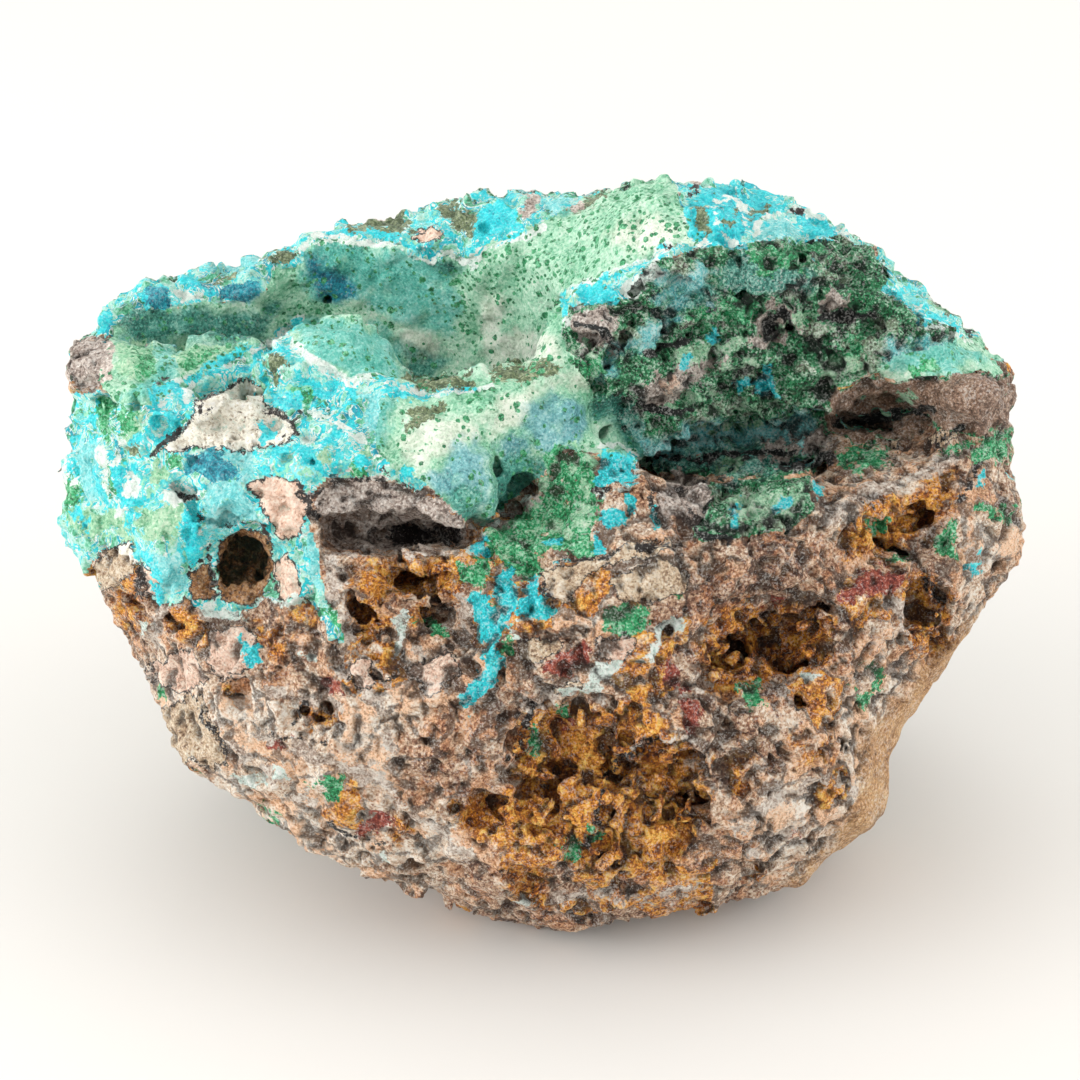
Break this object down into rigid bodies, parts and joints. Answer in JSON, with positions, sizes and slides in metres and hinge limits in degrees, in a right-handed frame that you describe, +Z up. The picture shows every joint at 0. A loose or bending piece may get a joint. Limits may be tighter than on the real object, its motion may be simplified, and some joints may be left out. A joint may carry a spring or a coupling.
{
  "type": "mineral specimen",
  "caption": "Hand-sized hemimorphite and malachite specimen with a blue-green lined vug, a chrysocolla crust and pitted brown matrix.",
  "frame": {"origin": "middle of the flat face that the rock rests on, on the floor", "axes": "+X to the right along the longest side, +Y away from the viewer into the back, +Z up"},
  "size_m": [0.1189, 0.0857, 0.0851],
  "materials": {
    "stone": "rough stone, brown matrix with blue-green crusts"
  },
  "bodies": {
    "root": {"specimen": "stone"}
  },
  "joints": []
}
